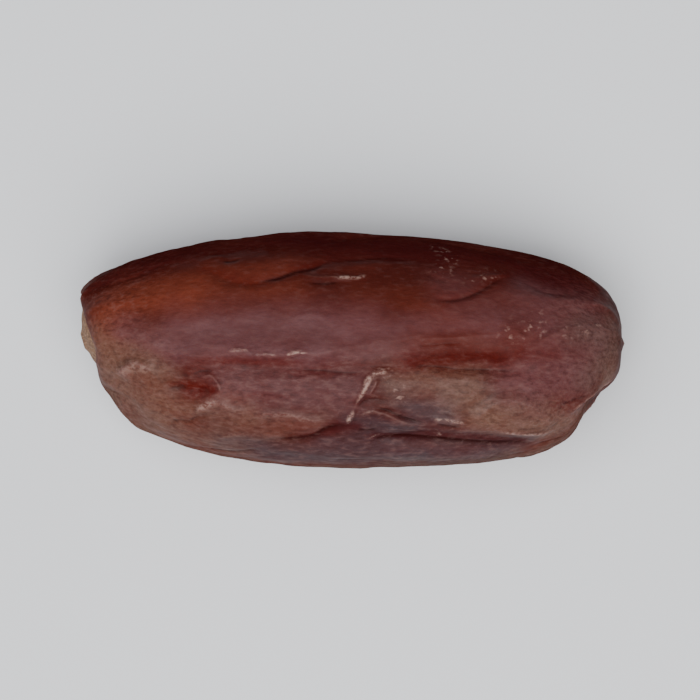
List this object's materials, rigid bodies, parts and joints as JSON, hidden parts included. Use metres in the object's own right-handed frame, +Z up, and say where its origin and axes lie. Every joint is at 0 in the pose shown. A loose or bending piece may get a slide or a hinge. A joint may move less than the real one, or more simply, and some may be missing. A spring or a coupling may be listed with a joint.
{
  "type": "piarom date",
  "caption": "Whole dried date fruit with a lengthwise wrinkled, semi-gloss skin and its dried calyx, lying on its side.",
  "frame": {"origin": "under the middle of the date, on the surface that it stands on", "axes": "+X along the fruit from the stem end to the tip, +Y across it, +Z up, with the date lying on its side"},
  "size_m": [0.0502, 0.0216, 0.019],
  "materials": {
    "date_skin": "semi-gloss, deep red-brown dried fruit skin with a greyish purple bloom on its raised parts",
    "dried_calyx": "dry and matt, golden tan, fibrous"
  },
  "bodies": {
    "root": {"date_fruit": "date_skin", "calyx": "dried_calyx"}
  },
  "joints": []
}
